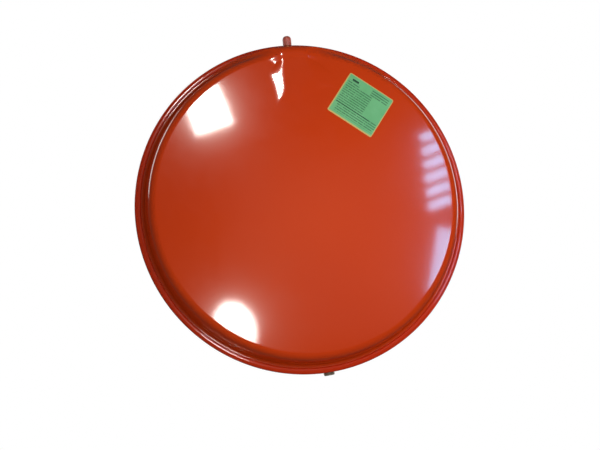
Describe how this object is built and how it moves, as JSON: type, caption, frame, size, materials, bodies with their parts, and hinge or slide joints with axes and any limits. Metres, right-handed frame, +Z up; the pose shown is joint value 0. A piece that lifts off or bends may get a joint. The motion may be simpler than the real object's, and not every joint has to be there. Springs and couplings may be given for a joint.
{
  "type": "expansion vessel",
  "caption": "Flat round steel expansion vessel with a rubber diaphragm, a radial capped gas valve and a small radial threaded water stub.",
  "frame": {"origin": "centre of the rim circle in the plane of the seam", "axes": "+Z up through the gas valve, -Y out of the front face along the disc's axis, +X to the right seen from the front"},
  "size_m": [0.3869, 0.088, 0.3982],
  "materials": {
    "red_paint": "glossy orange-red stove enamel with a slight orange peel",
    "label_print": "green printed film",
    "zinc_steel": "turned steel, dull zinc",
    "valve_brass": "turned brass",
    "diaphragm_rubber": "matt black synthetic rubber",
    "seal_rubber": "black rubber",
    "gasket_plastic": "red sealing plastic",
    "spring_steel": "drawn wire",
    "cap_plastic": "dark red moulded plastic"
  },
  "bodies": {
    "vessel": {"front_shell": "red_paint", "back_shell": "red_paint", "clench_ring": "red_paint", "diaphragm_edge": "diaphragm_rubber", "diaphragm_wall": "diaphragm_rubber", "valve_stem": "valve_brass", "valve_weld": "red_paint", "core_plug": "valve_brass", "core_barrel": "valve_brass", "core_gasket": "gasket_plastic", "core_spring": "spring_steel", "water_stub": "zinc_steel", "stub_weld": "red_paint", "label": "label_print"},
    "diaphragm_middle": {"diaphragm_centre": "diaphragm_rubber"},
    "valve_pin": {"core_pin": "spring_steel", "core_cup": "valve_brass", "core_seal": "seal_rubber"},
    "cap_carrier": {"cap_seal": "seal_rubber"},
    "cap": {"valve_cap": "cap_plastic"}
  },
  "joints": [
    {"name": "diaphragm_travel", "type": "slide", "parent": "vessel", "child": "diaphragm_middle", "axis": [0, -1, 0], "range_m": [0, 0.045], "stiffness_N_per_m": 400, "springref_m": -0.01, "deforming": ["diaphragm_wall"]},
    {"name": "valve_pin_press", "type": "slide", "parent": "vessel", "child": "valve_pin", "axis": [0, 0, -1], "range_m": [0, 0.0015], "stiffness_N_per_m": 1500, "springref_m": -0.001, "deforming": ["core_spring"]},
    {"name": "cap_lift", "type": "slide", "parent": "vessel", "child": "cap_carrier", "axis": [0, 0, 1], "range_m": [0, 0.00476]},
    {"name": "cap_turn", "type": "hinge", "parent": "cap_carrier", "child": "cap", "pos_m": [0, -0.0094, 0.196], "axis": [0, 0, 1], "range_deg": [0, 2160]}
  ],
  "couplings": [
    {"joint": "cap_turn", "follows": "cap_lift", "rad_per_m": 7915.8}
  ]
}
